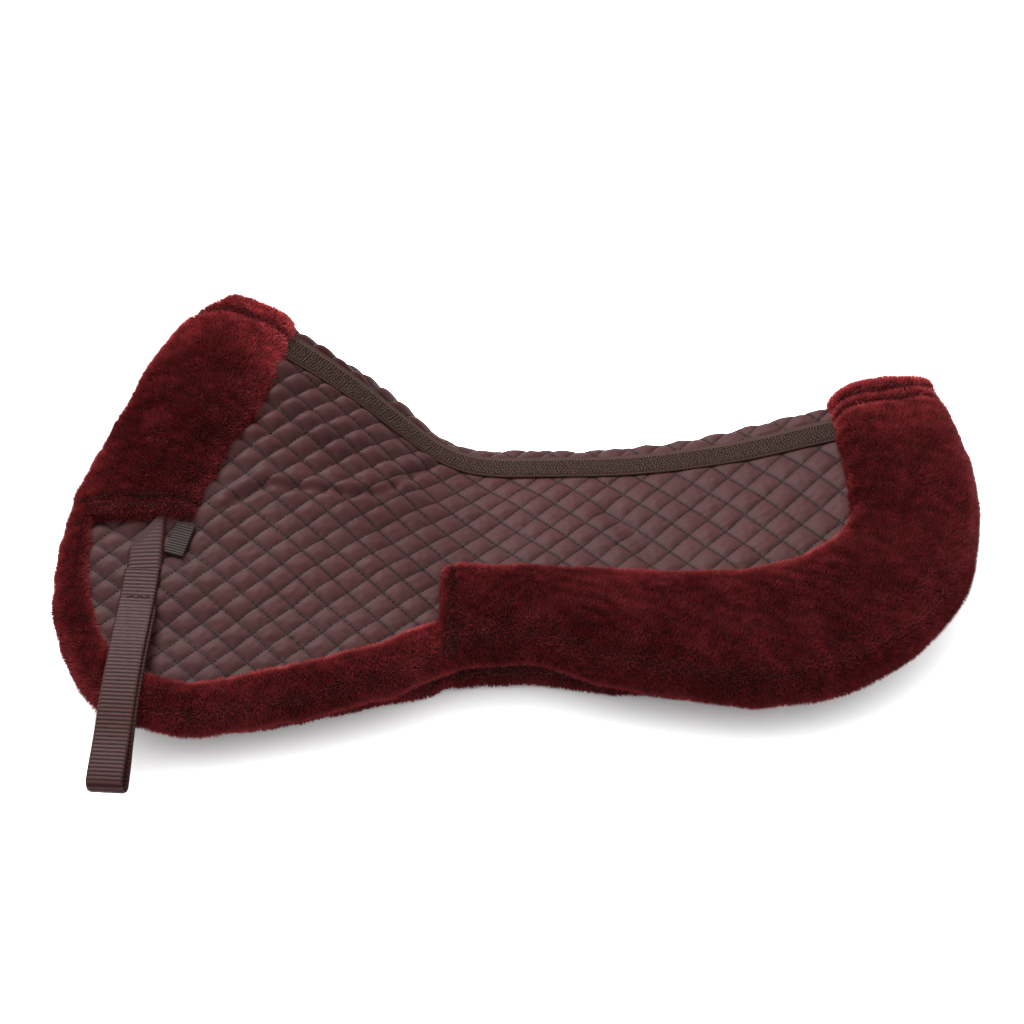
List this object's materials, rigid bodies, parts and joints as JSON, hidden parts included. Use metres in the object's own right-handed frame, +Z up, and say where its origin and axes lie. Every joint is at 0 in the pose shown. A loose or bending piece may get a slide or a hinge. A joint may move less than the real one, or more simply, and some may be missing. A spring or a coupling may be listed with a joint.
{
  "type": "half pad",
  "caption": "Folded saddle half pad: two padded flaps joined along a curved spine, plush edges, a stuffed rear roll and girth loops of webbing.",
  "frame": {"origin": "centre of the bounding box in plan, at the ground the folded pad lies on", "axes": "+X towards the rear of the pad, +Y towards the fold of the spine, +Z up from the right flap to the left flap"},
  "size_m": [0.6664, 0.3998, 0.1572],
  "materials": {
    "burgundy_plush": "dense cut pile",
    "quilted_cotton": "matte twill with a slight sheen",
    "foam": "open cell, matte",
    "spine_tape": "pebbled weave, matte",
    "webbing": "ribbed weave, slight sheen",
    "label": "woven, matte"
  },
  "bodies": {
    "right_flap": {"right_edge_binding": "burgundy_plush", "right_front_patch": "burgundy_plush", "right_patch_wadding": "foam", "right_plush_lining": "burgundy_plush", "right_quilted_cover": "quilted_cotton", "right_rear_roll": "burgundy_plush", "right_roll_wadding": "foam", "right_strap_tab": "webbing", "right_wadding": "foam", "spine_cover": "quilted_cotton", "spine_front_plush": "burgundy_plush", "spine_rear_plush": "burgundy_plush", "spine_wadding": "foam"},
    "left_flap": {"left_edge_binding": "burgundy_plush", "left_front_patch": "burgundy_plush", "left_patch_wadding": "foam", "left_plush_lining": "burgundy_plush", "left_quilted_cover": "quilted_cotton", "left_rear_roll": "burgundy_plush", "left_roll_wadding": "foam", "left_strap_tab": "webbing", "left_wadding": "foam", "spine_tape": "spine_tape", "care_label": "label"},
    "left_strap": {"left_girth_strap": "webbing"},
    "right_strap": {"right_girth_strap": "webbing"}
  },
  "joints": [
    {"name": "spine_hinge", "type": "hinge", "parent": "right_flap", "child": "left_flap", "pos_m": [0.04379, 0.16038, 0.061], "axis": [-0.9918, 0.0437, 0.1203], "range_deg": [0, 110], "deforming": ["spine_cover", "spine_front_plush", "spine_rear_plush", "spine_wadding"]},
    {"name": "left_strap_hinge", "type": "hinge", "parent": "left_flap", "child": "left_strap", "pos_m": [-0.26971, -0.02832, 0.0759], "axis": [-0.9981, 0.0611, 0], "range_deg": [0, 120]},
    {"name": "right_strap_hinge", "type": "hinge", "parent": "right_flap", "child": "right_strap", "pos_m": [-0.23398, -0.00809, 0.007], "axis": [0, 1, 0], "range_deg": [0, 120]}
  ]
}
